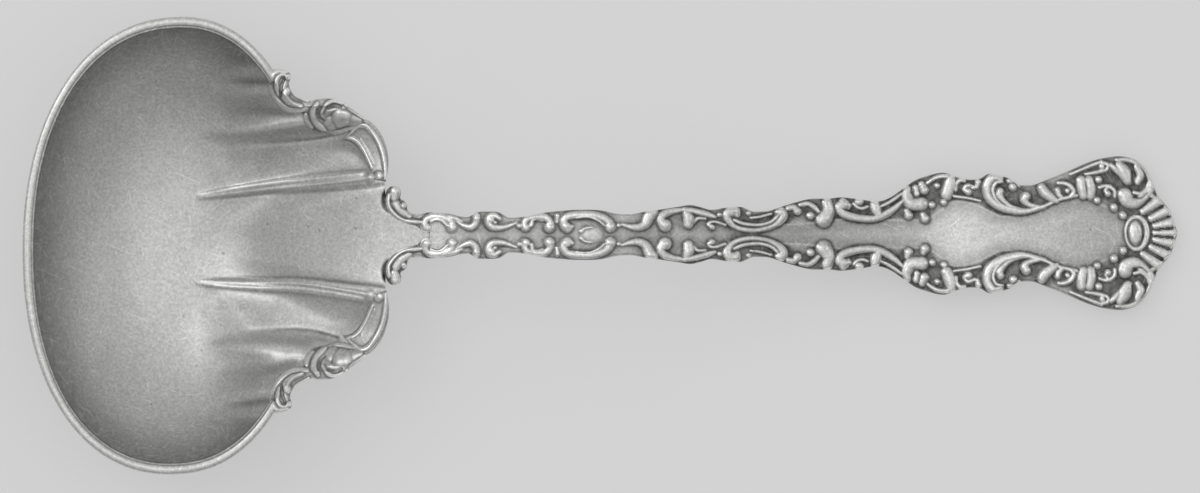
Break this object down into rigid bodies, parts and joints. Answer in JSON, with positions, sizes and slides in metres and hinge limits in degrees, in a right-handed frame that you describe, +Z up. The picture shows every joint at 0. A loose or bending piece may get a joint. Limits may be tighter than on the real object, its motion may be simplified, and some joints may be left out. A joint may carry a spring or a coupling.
{
  "type": "gravy ladle",
  "caption": "Silver gravy ladle with a broad fluted oval bowl, wired lip, scrolled shoulders and an arched handle with scroll borders that ends in a small shell.",
  "frame": {"origin": "on the flat under the bowl, where it meets the table, straight below the long axis of the handle", "axes": "+X from the bowl towards the end of the handle, +Z up out of the bowl, +Y to the right hand of someone who holds the handle"},
  "size_m": [0.1784, 0.0703, 0.0202],
  "materials": {
    "bowl_silver": "satin silver, worn with fine scratches",
    "mount_silver": "satin silver with dark recesses",
    "handle_silver": "struck satin silver, dark in the recesses of the ornament"
  },
  "bodies": {
    "root": {"bowl": "bowl_silver", "lip_wire": "mount_silver", "left_lip_scroll": "mount_silver", "right_lip_scroll": "mount_silver", "left_leaf_scroll": "mount_silver", "right_leaf_scroll": "mount_silver", "left_cove_border": "mount_silver", "right_cove_border": "mount_silver", "handle": "handle_silver"}
  },
  "joints": []
}
